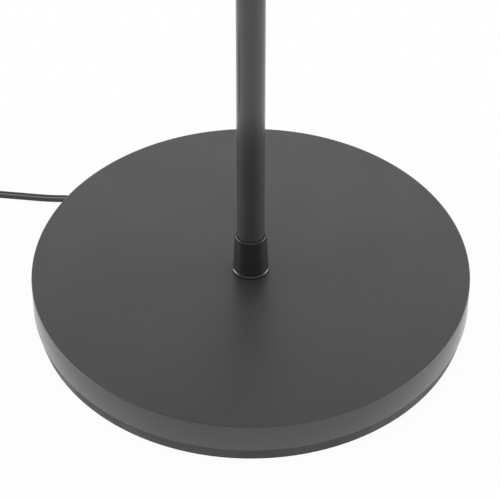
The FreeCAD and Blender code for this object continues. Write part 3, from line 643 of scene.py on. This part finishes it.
def flex_route():
    """Control points of the lead: out of the foot, over the floor, round a two-layer coil, to the plug."""
    points = [polar(CORD_START, CORD_ANGLE, EXIT_Z), polar(CORD_FIRST, CORD_ANGLE, EXIT_Z - 0.6),
              Vector((-123.0, 90.4, FLEX_Z)), Vector((-143.0, 93.0, FLEX_Z)), Vector((-166.0, 95.8, FLEX_Z)),
              Vector((-190.0, COIL_Y + COIL_R, FLEX_Z))]
    top, side, radius, z = COIL_Y + COIL_R, 1, COIL_R, FLEX_Z
    for k in range(HALF_TURNS_IN + 1 + HALF_TURNS_OUT):
        centre = top - side * radius
        climb = LAYER_RISE if k == HALF_TURNS_IN else 0.0
        out = radius / math.cos(math.pi / 2 / POINTS_PER_HALF_TURN)
        for i in range(POINTS_PER_HALF_TURN):
            share = (i + 0.5) / POINTS_PER_HALF_TURN
            turn = math.pi * share
            points.append(Vector((COIL_X - side * out * math.sin(turn), centre + side * out * math.cos(turn),
                                  z + climb * share)))
        top, side, z = top - 2 * side * radius, -side, z + climb
        radius += COIL_PITCH / 2 if k >= HALF_TURNS_IN else -COIL_PITCH / 2
    points += [Vector((COIL_X - 9, top, z)), Vector((COIL_X - 26, top, z + 0.4)),
               Vector((COIL_X - 42, top, PLUG_Z)), Vector((COIL_X - PLUG_AT, top, PLUG_Z))]
    return [p * MM for p in points], top


def route_line(points):
    """The smooth line that those control points pull, as points a millimetre or two apart."""
    data = bpy.data.curves.new("flex_route", "CURVE")
    data.dimensions = "3D"
    spline = data.splines.new("NURBS")
    spline.points.add(len(points) - 1)
    for point, co in zip(spline.points, points):
        point.co = (*co, 1)
    spline.order_u = 3
    spline.use_endpoint_u = True
    spline.resolution_u = 5
    curve = bpy.data.objects.new("flex_route", data)
    bpy.context.scene.collection.objects.link(curve)
    bpy.context.view_layer.update()
    mesh = bpy.data.meshes.new_from_object(curve)
    line = [v.co.copy() for v in mesh.vertices]
    bpy.data.meshes.remove(mesh)
    bpy.data.objects.remove(curve)
    return line


def flex_section():
    """Two cores side by side with a flat web between them, as (across, up) in mm, anticlockwise."""
    half_w, half_h, web_w, web_h = 1.12, FLEX_T / 2, 0.42, 0.75
    middle, points = FLEX_W / 2 - half_w, []
    for side in (1, -1):
        points.append((side * web_w, -side * web_h))
        for k in range(9):
            a = math.radians(-112 + 28 * k)
            points.append((side * (middle + half_w * math.cos(a)), side * half_h * math.sin(a)))
        points.append((side * web_w, side * web_h))
    return points


def make_flex():
    """A closed twin tube along the line, flat side down."""
    route, top = flex_route()
    line, section = route_line(route), flex_section()
    verts, faces, count = [], [], len(section)
    for i, here in enumerate(line):
        ahead = (line[min(i + 1, len(line) - 1)] - line[max(i - 1, 0)]).normalized()
        across = Vector((0, 0, 1)).cross(ahead).normalized()
        up = ahead.cross(across)
        verts += [here + across * a * MM + up * u * MM for a, u in section]
        if i:
            base = len(verts) - count
            faces += [(base - count + j, base - count + (j + 1) % count, base + (j + 1) % count, base + j)
                      for j in range(count)]
    faces += [tuple(range(count))[::-1], tuple(range(len(verts) - count, len(verts)))]
    mesh = bpy.data.meshes.new("mains_flex")
    mesh.from_pydata(verts, [], faces)
    uv = mesh.uv_layers.new(name="along")
    long = sum((b - a).length for a, b in zip(line, line[1:]))
    for face in mesh.polygons:
        places = [divmod(vertex, count) for vertex in face.vertices]
        closing = len(places) == 4 and {0, count - 1} <= {j for _, j in places}
        for loop, (ring, j) in zip(face.loop_indices, places):
            v = 1.0 if closing and j == 0 else j / count
            uv.data[loop].uv = (ring / len(line) * long * 20, v)
    flex = bpy.data.objects.new("mains_flex", mesh)
    bpy.context.scene.collection.objects.link(flex)
    finished(flex, "flex", "root", ["cord_free", "cord_coil"], smooth=70)
    grip = make_plug_grip(top)


def make_plug_grip(top):
    """Moulded grip drawn out from the blade face to the lead, with finger ribs and a sleeve."""
    face_x = COIL_X - PLUG_AT - PLUG_L
    bpy.ops.object.select_all(action="DESELECT")
    bpy.ops.mesh.primitive_plane_add(size=1.0)
    grip = bpy.context.object
    grip.name = grip.data.name = "plug_grip"
    lay = Matrix.Translation(Vector((face_x, top, PLUG_Z)) * MM) @ Matrix.Rotation(math.radians(-90), 4, "Y")
    grip.data.transform(lay @ Matrix.Diagonal((13 * MM, 25 * MM, 1, 1)))
    bpy.ops.object.mode_set(mode="EDIT")
    bpy.ops.mesh.select_all(action="SELECT")
    bpy.ops.mesh.bevel(offset=4.2 * MM, segments=5, affect="VERTICES")
    centre = Vector((face_x, top, PLUG_Z)) * MM
    x = 0.0
    for step, wide, high in ((8.0, 1.0, 1.0), (6.0, 0.9, 0.95), (4.0, 0.84, 0.94), (3.0, 0.80, 0.9),
                             (1.0, 0.93, 0.9), (2.0, 0.98, 1.0), (1.0, 1.06, 1.08), (2.0, 0.86, 0.9),
                             (1.0, 0.93, 0.9), (2.0, 0.98, 1.0), (1.0, 1.06, 1.08), (2.8, 0.76, 0.86)):
        x += step
        bpy.ops.mesh.extrude_region_move(TRANSFORM_OT_translate={"value": (step * MM, 0, 0)})
        bpy.ops.transform.resize(value=(1, wide, high), center_override=centre + Vector((x * MM, 0, 0)))
    bpy.ops.mesh.select_all(action="SELECT")
    bpy.ops.mesh.normals_make_consistent(inside=False)
    bpy.ops.object.mode_set(mode="OBJECT")
    return finished(grip, "plug", "root", ["plug_body"], smooth=40)


# ---- the nodes that stay as built ---------------------------------------------------------------
def dress_nodes():
    finishes = {"base_pad": "foam", "cord_bushing": "collar", "pole_lead": "flex", "head_lead": "flex",
                "plug_blades": "brass", "lampholder_shell": "brass", "centre_contact": "brass",
                "shade_ring": "holder", "switch_knob": "knob"}
    for name in ("base_nipple", "base_washer", "star_washer", "base_nut", "pole_inserts", "pole_studs",
                 "neck_nipple", "cup_nut", "switch_bushing", "switch_nut", "knob_stem"):
        finishes[name] = "steel"
    for name, finish in finishes.items():
        node = frame["nodes"][name]
        node.data.materials.clear()
        node.data.materials.append(FINISH[finish])


JOINT_AT = {joint["name"]: joint["pos_m"] for joint in frame["joints"] if "pos_m" in joint}
FIRST_HINGE, LAST_HINGE = "neck_lean_01", "neck_bend_12"
CHAIN = [name for k in range(1, 7) for name in
         (f"neck_lean_{k:02d}", f"neck_bend_{2 * k - 1:02d}", f"neck_bend_{2 * k:02d}")]
HINGE_RANGES = {joint["name"]: joint["range_deg"] for joint in frame["joints"]
                if joint["name"].startswith("neck_")}
HINGE_NAMES = sorted(HINGE_RANGES, key=CHAIN.index)
HEAD_Y, HEAD_Z = JOINT_AT[LAST_HINGE][1], JOINT_AT[LAST_HINGE][2]
HEAD_PLACE = Matrix.Translation((0, HEAD_Y, HEAD_Z)) @ Matrix.Rotation(math.pi, 4, "X")

place_camera()
FINISH = make_finishes()
make_flex()
white_floor()
studio_light()
make_foot()
make_collar()
make_pole()
make_neck()
make_head_ferrule()
make_socket_cup()
make_lampholder()
make_shade()
make_bulb()
dress_nodes()
